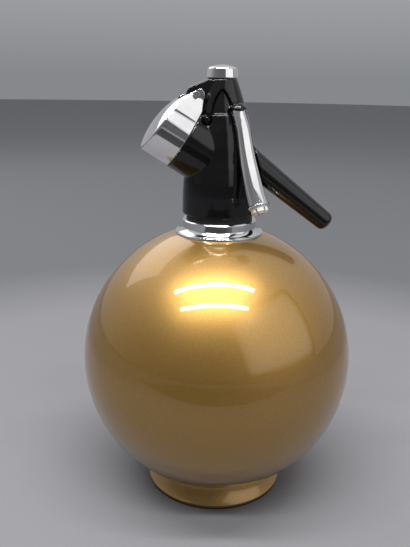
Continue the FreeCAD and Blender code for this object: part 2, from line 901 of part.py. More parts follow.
def make_cowl():
    """Upper cowl: a thin ogive cap with an arched window and the cover's hinge lug."""
    blank = turned(
        "cowl_blank",
        [
            (0, cowl_bottom + seat_gap),
            (side_at(cowl_bottom + seat_gap), cowl_bottom + seat_gap, side_radius, "left"),
            (head_top_radius, head_top),
            (0, head_top),
        ],
    )
    knuckle = cylinder(
        "knuckle",
        knuckle_radius,
        knuckle_half_width * 2,
        vector(hinge_reach, -knuckle_half_width, hinge_height),
        ALONG_Y,
    )
    web = prism(
        "hinge_web",
        "XZ_Plane",
        [(hinge_reach + x, hinge_height + z) for x, z in web_corners],
        knuckle_half_width * 2,
    )
    lug = moved(fuse("hinge_lug", [knuckle, web]), boss_frame())
    solid = fuse("cowl_solid", [blank, lug])
    core = turned(
        "core_room",
        [
            (0, cowl_bottom - OVERRUN),
            (side_at(cowl_bottom, cowl_wall), cowl_bottom - OVERRUN),
            (side_at(cowl_bottom, cowl_wall), cowl_bottom, side_radius - cowl_wall, "left"),
            (side_at(core_top, cowl_wall), core_top),
            (side_at(core_top, cowl_wall), core_top + seat_gap),
            (0, core_top + seat_gap),
        ],
    )
    window = prism(
        "arched_window",
        "XZ_Plane",
        [
            (-arch_half_width, cowl_bottom - OVERRUN),
            (arch_half_width, cowl_bottom - OVERRUN, arch_radius, "left"),
            (as_size(0), cowl_bottom + arch_height, arch_radius, "left"),
        ],
        skirt_radius,
        both_ways=False,
    )
    spigot = cylinder(
        "spigot_room", spring_bore + seat_gap, core_drop * 2, vector(0, 0, core_top - core_drop / 2)
    )
    pin_hole = moved(
        cylinder(
            "hinge_pin_bore",
            hinge_radius + seat_gap / 2,
            ear_half_width * 2,
            vector(hinge_reach, -ear_half_width, hinge_height),
            ALONG_Y,
        ),
        boss_frame(),
    )
    boss_room = boss_cylinder("boss_room", boss_radius + seat_gap, -boss_reach, boss_reach + hood_clear)
    visor_room = spout_ball("visor_room", groove_gap + visor_wall + seat_gap)
    tools = [core, window, spigot, pin_hole, boss_room, visor_room]
    tools.append(spout_form("spout_room", groove_gap, last=3))
    keep(cut("cowl", solid, tools), "head_cowl")


def make_cap():
    """Chrome cap nut whose hollow spigot holds the valve spring."""
    bore = spring_bore - 2 * seat_gap
    shoulder = head_top + cap_height
    dome_reach = cap_radius - cap_dome
    dome_radius = (dome_reach * dome_reach + cap_crown * cap_crown) / (cap_crown * 2)
    cap = turned(
        "cap",
        [
            (0, head_top + cap_hollow),
            (bore - spigot_wall, head_top + cap_hollow),
            (bore - spigot_wall, cap_spigot_end),
            (bore, cap_spigot_end),
            (bore, head_top + seat_gap),
            (cap_radius - skirt_bevel, head_top + seat_gap),
            (cap_radius, head_top + skirt_bevel),
            (cap_radius - cap_dome / 4, shoulder - cap_dome / 2, cap_dome, "left"),
            (dome_reach, shoulder + cap_dome - cap_crown, dome_radius, "left"),
            (0, shoulder + cap_dome),
        ],
    )
    keep(cap, "top_cap")


def make_neck_pieces():
    """Threaded ring in the skirt and the gasket on the neck's rim."""
    outer = skirt_bore - seat_gap
    bottom = socket_ceiling - gasket_height - thread_ring_height
    top = socket_ceiling - gasket_height
    keep(
        ring("thread_ring", outer, neck_radius + running_gap, bottom, top - seat_gap),
        "head_thread_ring",
    )
    keep(ring("gasket", outer, gasket_bore, top, socket_ceiling), "neck_gasket")


def make_valve():
    """Seat, washer, stem, packing ring and spring on the head's axis."""
    seat = turned(
        "seat",
        [
            (tube_radius + seat_gap, socket_ceiling - spigot_length),
            (spigot_radius, socket_ceiling - spigot_length),
            (spigot_radius, socket_ceiling),
            (chamber_radius, socket_ceiling),
            (chamber_radius, seat_top - seat_nose),
            (washer_radius - seat_nose / 2, seat_top - seat_nose),
            (washer_radius - seat_nose, seat_top),
            (seat_hole, seat_top),
            (seat_hole, socket_ceiling - seat_nose),
            (tube_radius + seat_gap, socket_ceiling - seat_nose),
        ],
    )
    keep(seat, "valve_seat")
    keep(ring("washer", washer_radius, stem_tail + seat_gap, seat_top, washer_top), "valve_washer")
    stem = turned(
        "stem",
        [
            (0, seat_top - seat_nose),
            (stem_tail, seat_top - seat_nose),
            (stem_tail, washer_top),
            (washer_radius, washer_top),
            (washer_radius, washer_top + stem_disc),
            (stem_radius, washer_top + stem_disc),
            (stem_radius, collar_under),
            (stem_collar_radius, collar_under),
            (stem_collar_radius, stem_collar_top),
            (stem_radius, stem_collar_top),
            (stem_radius, stem_collar_top + stem_guide),
            (0, stem_collar_top + stem_guide),
        ],
    )
    keep(stem, "valve_stem")
    keep(
        ring("gland", gland_radius, stem_radius + running_gap, chamber_top, cavity_floor),
        "stem_packing_ring",
    )
    spring = ring(
        "spring", spring_radius, spring_radius - spring_wire, stem_collar_top, cap_spigot_end
    )
    keep(spring, "valve_spring")


def make_dip_tube():
    """Tube from the valve seat to the bottle's floor, and its nut."""
    tube = ring(
        "dip_tube",
        tube_radius,
        tube_radius - tube_wall,
        globe_lift + globe_wall + tube_clear,
        socket_ceiling - seat_nose,
    )
    keep(tube, "dip_tube")
    bottom = socket_ceiling - spigot_length
    nut = ring("nut", nut_radius, spigot_radius + seat_gap, bottom, bottom + nut_height)
    keep(nut, "dip_tube_nut")


def make_charger():
    """Charging socket, seal and piercing pin in the boss, all about the boss axis."""
    floor = -socket_depth
    socket = turned(
        "socket",
        [
            (needle_radius + seat_gap, floor - socket_floor),
            (socket_radius, floor - socket_floor),
            (socket_radius, as_size(0)),
            (socket_bore, as_size(0)),
            (socket_bore, floor),
            (needle_radius + seat_gap, floor),
        ],
    )
    keep(moved(socket, boss_frame()), "charger_socket")
    seal_bore = needle_radius * 2
    seal = ring("charger_seal", charger_seal_radius, seal_bore, floor, floor + charger_seal_height)
    keep(moved(seal, boss_frame()), "charger_seal")
    under = floor - socket_floor
    needle = turned(
        "needle",
        [
            (0, under - needle_flange_height),
            (needle_flange, under - needle_flange_height),
            (needle_flange, under),
            (needle_radius, under),
            (needle_radius, floor + needle_length - needle_point),
            (0, floor + needle_length),
        ],
    )
    keep(moved(needle, boss_frame()), "piercing_pin")


def make_check_valve():
    """Ball, spring and retainer that keep the gas in the bottle."""
    place = turned_about_z(boss_azimuth)
    sink = root(check_ball_radius * check_ball_radius - check_hole * check_hole)
    centre = check_ceiling - sink - seat_gap
    ball = sphere("check_ball", check_ball_radius, vector(check_reach, 0, centre))
    keep(moved(ball, place), "check_valve_ball")
    offset = FreeCAD.Placement(vector(check_reach, 0, 0), FreeCAD.Rotation())
    retainer_top = socket_ceiling + retainer_height
    retainer = ring(
        "retainer", check_bore - seat_gap / 2, check_hole, socket_ceiling + seat_gap, retainer_top
    )
    keep(moved(retainer, place.multiply(offset)), "check_valve_retainer")
    spring = ring(
        "check_spring",
        check_ball_radius,
        check_ball_radius - check_spring_wire,
        retainer_top,
        centre - check_spring_drop,
    )
    keep(moved(spring, place.multiply(offset)), "check_valve_spring")


def hood_outline(inset):
    """Outline of the cover seen along the boss axis: round, drawn in to the ears."""
    round_radius = hood_radius - inset
    half = ear_half_width - inset
    end = hinge_reach + ear_radius * 2
    reach = round_radius * hood_waist_share
    wide = root(round_radius * round_radius - reach * reach)
    return [
        (-round_radius, as_size(0), round_radius, "left"),
        (as_size(0), -round_radius, round_radius, "left"),
        (reach, -wide),
        (hinge_reach, -half),
        (end, -half),
        (end, half),
        (hinge_reach, half),
        (reach, wide, round_radius, "left"),
        (as_size(0), round_radius, round_radius, "left"),
    ]


def make_hood():
    """Chrome cover on a hinge pin, drawn as a cup with two ears."""
    tall = hood_depth * 1.5
    dome_centre = vector(-hood_dome_shift, 0, hood_depth - hood_dome_radius)
    outside = common(
        "hood_outside",
        [
            prism("hood_round", "XY_Plane", hood_outline(as_size(0)), tall, both_ways=False),
            sphere("hood_dome", hood_dome_radius, dome_centre),
            fuse(
                "hood_side",
                [
                    prism(
                        "hood_side_plate",
                        "XZ_Plane",
                        [
                            (-hood_radius * 2, hood_clear),
                            (hood_rise_reach, hood_clear),
                            (hinge_reach, hinge_height - ear_radius),
                            (hinge_reach, tall),
                            (-hood_radius * 2, tall),
                        ],
                        hood_radius * 3,
                    ),
                    cylinder(
                        "ear_round",
                        ear_radius,
                        hood_radius * 3,
                        vector(hinge_reach, hood_radius * -1.5, hinge_height),
                        ALONG_Y,
                    ),
                ],
            ),
        ],
    )

    def on_dome(edge):
        distance = (middle_of(edge) - dome_centre).Length
        return abs(distance - hood_dome_radius.value) < TOUCH and middle_of(edge).x < hinge_reach.value

    outside = rounded("hood_outside_rounded", outside, hood_edge_round, on_dome)
    inside = common(
        "hood_inside",
        [
            prism("hood_hollow", "XY_Plane", hood_outline(hood_wall), tall, both_ways=False),
            sphere("hood_inner_dome", hood_dome_radius - hood_wall, dome_centre),
        ],
    )
    gap = ear_half_width - hood_wall
    slot = box(
        "hinge_slot",
        ear_radius * 5,
        gap * 2,
        tall,
        vector(hinge_reach - knuckle_radius - hood_clear * 3, -gap, -hood_clear),
    )
    pin_hole = cylinder(
        "ear_hole",
        hinge_radius + running_gap,
        hood_radius * 3,
        vector(hinge_reach, hood_radius * -1.5, hinge_height),
        ALONG_Y,
    )
    hood = cut("hood", outside, [inside, slot, pin_hole])
    keep(moved(hood, boss_frame()), "charger_cover")
    half = ear_half_width + hood_clear
    pin = cylinder(
        "hinge_pin", hinge_radius, half * 2, vector(hinge_reach, -half, hinge_height), ALONG_Y
    )
    keep(moved(pin, boss_frame()), "cover_hinge_pin")


def check_and_export():
    """Stops on any failed feature, then writes each sub-part."""
    doc.recompute()
    for piece in doc.Objects:
        if "Invalid" in piece.State or "Error" in piece.State:
            raise SystemExit(f"{piece.Name} failed: {piece.State}")
    os.makedirs("parts", exist_ok=True)
    for piece in parts:
        shape = piece.Shape
        if shape.isNull() or not shape.isValid():
            raise SystemExit(f"{piece.Label} has no valid shape")
        shape.exportStep(f"parts/{piece.Label}.step")
        print(f"{piece.Label}: {len(shape.Solids)} solid, {shape.Volume:.1f} mm3")


make_globe()
make_neck()
make_foot()
make_collar()
make_head()
make_cowl()
make_cap()
make_neck_pieces()
make_valve()
make_dip_tube()
make_lever()
make_charger()
make_check_valve()
make_hood()
make_spout()
check_and_export()
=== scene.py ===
import json
import math

import bpy
from mathutils import Matrix, Vector


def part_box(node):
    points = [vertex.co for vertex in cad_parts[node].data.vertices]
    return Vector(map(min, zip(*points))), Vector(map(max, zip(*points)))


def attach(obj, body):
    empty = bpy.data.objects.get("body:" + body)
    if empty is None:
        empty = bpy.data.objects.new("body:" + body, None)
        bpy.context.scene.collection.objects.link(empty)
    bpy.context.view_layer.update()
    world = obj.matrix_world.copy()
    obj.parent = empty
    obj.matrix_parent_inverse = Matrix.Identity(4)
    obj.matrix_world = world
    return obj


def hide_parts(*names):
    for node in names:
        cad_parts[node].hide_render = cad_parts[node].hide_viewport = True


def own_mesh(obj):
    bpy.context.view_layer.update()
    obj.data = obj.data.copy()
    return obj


# Looks of the soda siphon: materials for every node, finer pieces, light and camera. In metres.

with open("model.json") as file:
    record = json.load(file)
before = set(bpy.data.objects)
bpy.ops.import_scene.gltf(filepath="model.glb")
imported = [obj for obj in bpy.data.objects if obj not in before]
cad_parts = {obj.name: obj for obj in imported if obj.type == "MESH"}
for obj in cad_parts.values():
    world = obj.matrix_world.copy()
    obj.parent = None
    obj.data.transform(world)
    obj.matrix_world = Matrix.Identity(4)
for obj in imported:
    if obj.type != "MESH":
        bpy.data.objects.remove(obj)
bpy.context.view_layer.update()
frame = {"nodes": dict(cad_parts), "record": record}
nodes = frame["nodes"]

PHOTO_WIDTH = 410
PHOTO_HEIGHT = 547


def srgb(red, green, blue):
    """A colour seen on screen, 0 to 255, as a linear colour."""
    values = []
    for level in (red, green, blue):
        part = level / 255
        values.append(part / 12.92 if part <= 0.04045 else ((part + 0.055) / 1.055) ** 2.4)
    return (*values, 1.0)


class Material:
    """A material built round one shader, with helpers for its textures."""

    def __init__(self, name, **settings):
        self.made = bpy.data.materials.new(name)
        self.made.use_nodes = True
        self.tree = self.made.node_tree
        self.shader = self.tree.nodes["Principled BSDF"]
        for socket, value in settings.items():
            self.shader.inputs[socket.replace("_", " ")].default_value = value
        self.place = self.tree.nodes.new("ShaderNodeTexCoord").outputs["Object"]

    def link(self, output, target):
        self.tree.links.new(output, target)

    def stretched(self, scale):
        """Object coordinates stretched along one or more axes."""
        mapping = self.tree.nodes.new("ShaderNodeMapping")
        mapping.inputs["Scale"].default_value = scale
        self.link(self.place, mapping.inputs["Vector"])
        return mapping.outputs["Vector"]

    def noise(self, scale, detail=4, where=None):
        texture = self.tree.nodes.new("ShaderNodeTexNoise")
        texture.inputs["Scale"].default_value = scale
        texture.inputs["Detail"].default_value = detail
        self.link(where or self.place, texture.inputs["Vector"])
        return texture.outputs["Fac"]

    def cells(self, scale):
        texture = self.tree.nodes.new("ShaderNodeTexVoronoi")
        texture.inputs["Scale"].default_value = scale
        self.link(self.place, texture.inputs["Vector"])
        return texture.outputs["Color"]

    def colours(self, level, stops):
        """Turns a level into colours, from (position, colour) stops."""
        ramp = colour_ramp(self.tree, stops)
        self.link(level, ramp.inputs["Fac"])
        return ramp.outputs["Color"]

    def spread(self, level, low, high, start=0.35, stop=0.65):
        """Maps a noise's level, from start to stop, to a range from low to high."""
        mapped = self.tree.nodes.new("ShaderNodeMapRange")
        mapped.inputs["From Min"].default_value = start
        mapped.inputs["From Max"].default_value = stop
        mapped.inputs["To Min"].default_value = low
        mapped.inputs["To Max"].default_value = high
        self.link(level, mapped.inputs["Value"])
        return mapped.outputs["Result"]

    def bump(self, level, strength, distance, under=None, socket="Normal"):
        """Relief from a level, over another normal where one is given."""
        relief = self.tree.nodes.new("ShaderNodeBump")
        relief.inputs["Strength"].default_value = strength
        relief.inputs["Distance"].default_value = distance
        self.link(level, relief.inputs["Height"])
        if under:
            self.link(under, relief.inputs["Normal"])
        self.feed(socket, relief.outputs["Normal"])

    def soft_edges(self, radius):
        """Rounds the look of sharp edges, under any relief."""
        edge = self.tree.nodes.new("ShaderNodeBevel")
        edge.samples = 6
        edge.inputs["Radius"].default_value = radius
        return edge.outputs["Normal"]

    def feed(self, socket, output):
        self.link(output, self.shader.inputs[socket])


def colour_ramp(tree, stops):
    """A colour ramp with (position, colour) stops."""
    ramp = tree.nodes.new("ShaderNodeValToRGB")
    while len(ramp.color_ramp.elements) < len(stops):
        ramp.color_ramp.elements.new(0.5)
    for element, (position, colour) in zip(ramp.color_ramp.elements, stops):
        element.position = position
        element.color = colour
    return ramp


def gold_paint():
    """Metallic gold paint with fine flake, under a clear gloss lacquer."""
    paint = Material(
        "gold_paint", Metallic=0.8, Coat_Weight=1.0, Coat_Roughness=0.03, Coat_IOR=1.5
    )
    flake = paint.cells(scale=3600)
    tone = paint.colours(
        flake, [(0.0, srgb(146, 110, 50)), (0.5, srgb(156, 120, 57)), (1.0, srgb(167, 131, 67))]
    )
    paint.feed("Base Color", tone)
    paint.feed("Roughness", paint.spread(paint.noise(scale=9), 0.37, 0.43))
    paint.bump(flake, strength=0.03, distance=0.00003)
    orange_peel = paint.noise(scale=150, detail=1)
    paint.bump(orange_peel, strength=0.05, distance=0.0001, socket="Coat Normal")
    return paint.made


def black_moulding():
    """Glossy black moulding, faintly uneven, with rounded edges."""
    black = Material("black_moulding", Specular_IOR_Level=0.45)
    tone = black.colours(
        black.noise(scale=70),
        [(0.3, (0.0022, 0.0022, 0.0026, 1)), (0.7, (0.004, 0.004, 0.0045, 1))],
    )
    black.feed("Base Color", tone)
    black.feed("Roughness", black.spread(black.noise(scale=240, detail=6), 0.07, 0.13))
    waves = black.noise(scale=45, detail=1)
    black.bump(waves, strength=0.04, distance=0.0003, under=black.soft_edges(0.0009))
    return black.made


def chrome():
    """Polished chrome plate with hairline wear and faint haze."""
    plate = Material("chrome", Metallic=1.0)
    tone = plate.colours(
        plate.noise(scale=60, detail=8),
        [(0.3, srgb(214, 214, 216)), (0.55, srgb(230, 230, 231)), (0.75, srgb(222, 221, 219))],
    )
    plate.feed("Base Color", tone)
    haze = plate.noise(scale=320, detail=8)
    plate.feed("Roughness", plate.spread(haze, 0.035, 0.1, start=0.4, stop=0.75))
    wear = plate.noise(scale=140, detail=5, where=plate.stretched((6, 1, 1)))
    plate.bump(wear, strength=0.02, distance=0.0002, under=plate.soft_edges(0.0005))
    return plate.made


def white_plastic():
    """White moulded plastic, a little translucent and faintly uneven in tone."""
    white = Material("white_plastic", Subsurface_Weight=0.15, Subsurface_Scale=0.001)
    tone = white.colours(
        white.noise(scale=300, detail=8), [(0.35, srgb(208, 206, 198)), (0.6, srgb(228, 227, 222))]
    )
    white.feed("Base Color", tone)
    white.feed("Roughness", white.spread(white.noise(scale=500), 0.35, 0.5))
    grain = white.noise(scale=900, detail=3)
    white.bump(grain, strength=0.1, distance=0.0001, under=white.soft_edges(0.0003))
    return white.made


def clear_plastic():
    """Milky translucent plastic of the dip tube."""
    milky = Material("clear_plastic", Subsurface_Weight=0.3, Subsurface_Scale=0.002)
    tone = milky.colours(
        milky.noise(scale=120, detail=5),
        [(0.35, srgb(196, 197, 192)), (0.65, srgb(214, 215, 211))],
    )
    milky.feed("Base Color", tone)
    milky.feed("Roughness", milky.spread(milky.noise(scale=260), 0.25, 0.4))
    milky.bump(milky.noise(scale=400, detail=2), strength=0.06, distance=0.0001)
    return milky.made


def brass():
    """Turned brass with tool marks round the axis and a dull tarnish."""
    metal = Material("brass", Metallic=1.0)
    tone = metal.colours(
        metal.noise(scale=90, detail=8),
        [(0.3, srgb(164, 128, 66)), (0.55, srgb(204, 170, 98)), (0.75, srgb(214, 184, 116))],
    )
    metal.feed("Base Color", tone)
    metal.feed("Roughness", metal.spread(metal.noise(scale=200, detail=6), 0.2, 0.38))
    tool_marks = metal.noise(scale=120, detail=2, where=metal.stretched((1, 1, 30)))
    metal.bump(tool_marks, strength=0.25, distance=0.0001, under=metal.soft_edges(0.0003))
    return metal.made


def spring_steel():
    """Drawn bright steel with fine lines along its length."""
    metal = Material("spring_steel", Metallic=1.0)
    tone = metal.colours(
        metal.noise(scale=150, detail=7), [(0.3, srgb(176, 176, 178)), (0.7, srgb(206, 206, 208))]
    )
    metal.feed("Base Color", tone)
    metal.feed("Roughness", metal.spread(metal.noise(scale=400, detail=6), 0.16, 0.3))
    drawn_lines = metal.noise(scale=300, detail=2, where=metal.stretched((20, 20, 1)))
    metal.bump(drawn_lines, strength=0.15, distance=0.00005)
    return metal.made


def black_rubber():
    """Matt black rubber with a fine grain."""
    rubber = Material("black_rubber")
    tone = rubber.colours(
        rubber.noise(scale=350, detail=8), [(0.35, srgb(22, 22, 23)), (0.7, srgb(38, 37, 37))]
    )
    rubber.feed("Base Color", tone)
    rubber.feed("Roughness", rubber.spread(rubber.noise(scale=500, detail=6), 0.5, 0.72))
    rubber.bump(rubber.noise(scale=1400), strength=0.2, distance=0.0001)
    return rubber.made


MATERIALS = {
    "gold_paint": gold_paint(),
    "black_moulding": black_moulding(),
    "chrome": chrome(),
    "white_plastic": white_plastic(),
    "clear_plastic": clear_plastic(),
    "brass": brass(),
    "spring_steel": spring_steel(),
    "black_rubber": black_rubber(),
}


def dress_nodes():
    """Gives every CAD node the material of its slot in the record."""
    for row in frame["record"]["subparts"]:
        mesh = nodes[row["node"]].data
        mesh.materials.clear()
        mesh.materials.append(MATERIALS[row["material_slot"]])


def soften(node, voxel, passes):
    """Rounds a moulded node's edges as its mould does, by modifiers on its mesh."""
    remesh = nodes[node].modifiers.new("even_mesh", "REMESH")
    remesh.mode = "VOXEL"
    remesh.voxel_size = voxel
    remesh.use_smooth_shade = True
    smooth = nodes[node].modifiers.new("round_edges", "SMOOTH")
    smooth.factor = 0.5
    smooth.iterations = passes


# Finer pieces


def tube_mesh(name, rings):
    """A closed mesh skinned over rings of equal count, as one smooth object."""
    count = len(rings[0])
    faces = []
    for i in range(len(rings) - 1):
        for j in range(count):
            near, far = i * count, (i + 1) * count
            after = (j + 1) % count
            faces.append((near + j, near + after, far + after, far + j))
    faces.append(tuple(reversed(range(count))))
    faces.append(tuple(range((len(rings) - 1) * count, len(rings) * count)))
    mesh = bpy.data.meshes.new(name)
    mesh.from_pydata([tuple(point) for ring in rings for point in ring], [], faces)
    mesh.validate()
    for face in mesh.polygons:
        face.use_smooth = True
    made = bpy.data.objects.new(name, mesh)
    bpy.context.scene.collection.objects.link(made)
    return made


def turned_mesh(name, outline, steps):
    """A smooth mesh turned about Z from an outline of (radius, height)."""
    rings = []
    for radius, height in outline:
        ring = []
        for k in range(steps):
            angle = math.tau * k / steps
            ring.append((radius * math.cos(angle), radius * math.sin(angle), height))
        rings.append(ring)
    return tube_mesh(name, rings)


def dressed(piece, slot_name, body, *replaced):
    """Gives a new piece the material of its slot and its body, and hides the nodes that it stands
    for.
    """
    piece.data.materials.append(MATERIALS[slot_name])
    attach(piece, body)
    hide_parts(*replaced)
    return piece


GLOBE_MOUTH = 0.01555  # radius of the hole for the neck
GLOBE_WALL = 0.0015
GLOBE_POLE = 0.3  # angle at the bottom pole where the last small face starts, in degrees
GLOBE_STEPS = 256  # faces round the globe


def arc(centre, radius, start, stop, steps):
    """Points of an arc about a height on the axis, by angle from straight down, in degrees."""
    points = []
    for k in range(steps + 1):
        angle = math.radians(start + (stop - start) * k / steps)
        points.append((radius * math.sin(angle), centre - radius * math.cos(angle)))
    return points


def add_globe():
    """The globe's two welded halves as one unbroken painted skin, open at the mouth."""
    lowest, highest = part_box("bottle_lower_half")
    radius = (highest.x - lowest.x) / 2
    centre = highest.z
    inner = radius - GLOBE_WALL
    to_mouth = 180 - math.degrees(math.asin(GLOBE_MOUTH / radius))
    to_hole = 180 - math.degrees(math.asin(GLOBE_MOUTH / inner))
    outside = arc(centre, radius, GLOBE_POLE, to_mouth, steps=96)
    inside = arc(centre, inner, to_hole, GLOBE_POLE, steps=48)
    globe = turned_mesh("globe_skin", outside + inside, GLOBE_STEPS)
    dressed(globe, "gold_paint", "bottle", "bottle_upper_half", "bottle_lower_half")


def blended(rows, share):
    """Catmull-Rom value of a list of rows, at a share from 0 to 1 of its length."""
    position = share * (len(rows) - 1)
    i = min(int(position), len(rows) - 2)
    t = position - i
    before, start = rows[max(i - 1, 0)], rows[i]
    end, after = rows[i + 1], rows[min(i + 2, len(rows) - 1)]
    values = []
    for a, b, c, d in zip(before, start, end, after):
        bend = 2 * a - 5 * b + 4 * c - d
        twist = -a + 3 * b - 3 * c + d
        values.append(0.5 * (2 * b + (c - a) * t + bend * t * t + twist * t ** 3))
    return values


# Spout stations: reach from the head's axis, drop below the cowl's edge, half width, half depth.
SPOUT = [
    (0.0139, -0.0012, 0.0034, 0.0034),
    (0.0156, 0.0026, 0.0035, 0.0034),
    (0.0176, 0.0071, 0.0036, 0.0034),
    (0.0206, 0.0167, 0.0039, 0.0036),
    (0.0243, 0.0262, 0.0044, 0.0039),
    (0.0285, 0.0356, 0.0049, 0.0044),
    (0.0330, 0.0438, 0.0052, 0.0052),
]
SPOUT_AZIMUTH = math.radians(-55)
SPOUT_OUTWARD = Vector((math.cos(SPOUT_AZIMUTH), math.sin(SPOUT_AZIMUTH), 0))
SPOUT_WALL = 0.0008
SPOUT_BEAD = 0.0005  # how far the rolled end stands out
SPOUT_SQUARENESS = 1.1  # flatness of the outer face, half way down
SPOUT_SQUARE_SPAN = 1.05  # how soon that flatness fades, nearer the end
SPOUT_RINGS = 60
SPOUT_TOP_RINGS = 12  # rings of the round top
SPOUT_TOP_SHARE = 0.02  # smallest ring of the round top, as a share
SLOPE_STEP = 0.01  # share of the length over which the slope is taken


def spout_ring(share, inset, squareness, steps=64):
    """One ring of the spout: rounded at its back, flatter on its outer face."""
    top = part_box("head_cowl")[0].z
    reach, drop, half_width, half_depth = blended(SPOUT, share)
    ahead = blended(SPOUT, min(share + SLOPE_STEP, 1))
    behind = blended(SPOUT, max(share - SLOPE_STEP, 0))
    run, fall = ahead[0] - behind[0], ahead[1] - behind[1]
    length = math.hypot(run, fall)
    side = Vector((-SPOUT_OUTWARD.y, SPOUT_OUTWARD.x, 0))
    face = SPOUT_OUTWARD * (fall / length) + Vector((0, 0, run / length))
    centre = SPOUT_OUTWARD * reach + Vector((0, 0, top - drop))
    ring = []
    for k in range(steps):
        angle = math.tau * k / steps
        across, out = math.sin(angle), math.cos(angle)
        power = 2 / (2 + squareness * max(out, 0))
        across = math.copysign(abs(across) ** power, across) * (half_width - inset)
        out = math.copysign(abs(out) ** power, out) * (half_depth - inset)
        ring.append(centre + side * across + face * out)
    return ring


def add_spout():
    """Chrome spout: a flared tube with a round top, an outer face and a rolled open end."""
    first = spout_ring(0, 0, 0)
    middle = sum(first, Vector()) / len(first)
    along = blended(SPOUT, SLOPE_STEP)
    start = blended(SPOUT, 0)
    back = SPOUT_OUTWARD * (start[0] - along[0]) + Vector((0, 0, along[1] - start[1]))
    back.normalize()
    rings = []
    for k in range(SPOUT_TOP_RINGS):
        angle = math.pi / 2 * (1 - k / SPOUT_TOP_RINGS)
        cap = middle + back * (SPOUT[0][2] * math.sin(angle))
        share = max(math.cos(angle), SPOUT_TOP_SHARE)
        rings.append([cap + (point - middle) * share for point in first])
    for k in range(SPOUT_RINGS + 1):
        share = k / SPOUT_RINGS
        flatness = math.sin(math.pi * min(share * SPOUT_SQUARE_SPAN, 1))
        rings.append(spout_ring(share, 0, SPOUT_SQUARENESS * flatness))
    rolled_end = [
        (-SPOUT_BEAD, 0.975),
        (-SPOUT_BEAD, 0.995),
        (0, 1),
        (SPOUT_WALL, 1),
        (SPOUT_WALL, 0.9),
    ]
    for inset, share in rolled_end:
        rings.append(spout_ring(share, inset, 0))
    dressed(tube_mesh("spout_shell", rings), "chrome", "head", "spout_tube")


COIL_TURNS = 8
COIL_STEPS = 36  # rings of wire in one turn
COIL_SIDES = 12  # faces round the wire
COIL_FLAT_END = 0.09  # share of the wire that lies flat at each end


def add_coil(name, node, wire, body):
    """A wound spring with closed ends in the place of a plain sleeve; wire is its radius."""
    lowest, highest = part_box(node)
    radius = (highest.x - lowest.x) / 2 - wire
    middle = (lowest + highest) / 2
    rise = highest.z - lowest.z - wire * 2
    steps = COIL_TURNS * COIL_STEPS
    rings = []
    for k in range(steps + 1):
        share = k / steps
        angle = math.tau * COIL_TURNS * share
        climb = min(max((share - COIL_FLAT_END) / (1 - COIL_FLAT_END * 2), 0), 1)
        out = Vector((math.cos(angle), math.sin(angle), 0))
        centre = Vector((middle.x, middle.y, lowest.z + wire + rise * climb)) + out * radius
        ring = []
        for j in range(COIL_SIDES):
            turn = math.tau * j / COIL_SIDES
            upward = Vector((0, 0, wire * math.sin(turn)))
            ring.append(centre + out * (wire * math.cos(turn)) + upward)
        rings.append(ring)
    return dressed(tube_mesh(name, rings), "spring_steel", body, node)


def add_spring(name, node, wire):
    """A wound spring on the head, with a mesh of its own."""
    coil = add_coil(name, node, wire, "head")
    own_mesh(coil)


# Stage

HORIZON = srgb(134, 136, 139)  # the backdrop's grey where it meets the far floor
BACKDROP = srgb(158, 159, 162)  # the backdrop's grey at the top of the picture
BACKDROP_TOP = 0.11  # sine of the view's upward angle where that grey is reached
FLOOR_RADIUS = 6
PAINTED_FALLOFF_START = 0.1  # distance from the object where the floor's painted light starts to fall off
PAINTED_FALLOFF_STOP = 1.3
CARD_PLACE = (-0.02, -0.6, 0.002)
CARD_SIZE = (0.9, 0.62, 1)
# near-black of the card: a painted dark reflection, standing in for shade on the table in front
SHADE_REFLECTION_COLOUR = (0.01, 0.01, 0.01, 1)
WINDOW_PLACE = (0.965, -0.676, 0.7)
WINDOW_HALF_SIZE = (0.9, 0.65, 1)
WINDOW_AIM = Vector((0, 0, 0.15))
WINDOW_GLOW = 1.15  # brightness of the soft card's middle
WINDOW_EDGE = 0.72  # where its light starts to fade, as a share of its half size
STRIP_SIZE = (1.7, 0.1)
STRIP_POWER = 26


def add_floor():
    """A round pale table top with painted light: its grey darkens away from the object, as the
    backdrop does, standing in for the lamps' fall-off.
    """
    bpy.ops.mesh.primitive_circle_add(vertices=128, radius=FLOOR_RADIUS, fill_type="NGON")
    floor = bpy.context.object
    floor.name = "floor"
    surface = Material("floor", Roughness=0.7, Specular_IOR_Level=0.2)
    distance = surface.tree.nodes.new("ShaderNodeVectorMath")
    distance.operation = "LENGTH"
    surface.link(surface.place, distance.inputs[0])
    fade = surface.spread(distance.outputs["Value"], 0, 1, start=PAINTED_FALLOFF_START, stop=PAINTED_FALLOFF_STOP)
    # Painted light fall-off: a painted pool of light, pale near the object, darkest part way out,
    # a little lighter far off.
    painted_light_greys = [
        (0.0, srgb(117, 117, 120)),
        (0.17, srgb(118, 118, 121)),
        (0.3, srgb(96, 97, 100)),
        (1.0, srgb(112, 113, 116)),
    ]
    surface.feed("Base Color", surface.colours(fade, painted_light_greys))
    surface.bump(surface.noise(scale=600), strength=0.05, distance=0.0002)
    floor.data.materials.append(surface.made)


def add_shade_reflection_card():
    """A dark card on the table in front, seen only as a reflection, as the photographer is: a
    painted reflection of shade on the table.
    """
    bpy.ops.mesh.primitive_plane_add(size=1, location=CARD_PLACE)
    card = bpy.context.object
    card.name = "shade_reflection_card"
    card.scale = CARD_SIZE
    card.data.materials.append(Material("shade_reflection_card", Base_Color=SHADE_REFLECTION_COLOUR).made)
    card.visible_camera = False
    card.visible_diffuse = False
    card.visible_shadow = False


def graded(tree, level, stops):
    """A grey that follows a level, from (position, grey) stops."""
    ramp = colour_ramp(tree, [(spot, (grey, grey, grey * 1.02, 1)) for spot, grey in stops])
    tree.links.new(level, ramp.inputs["Fac"])
    return ramp.outputs["Color"]


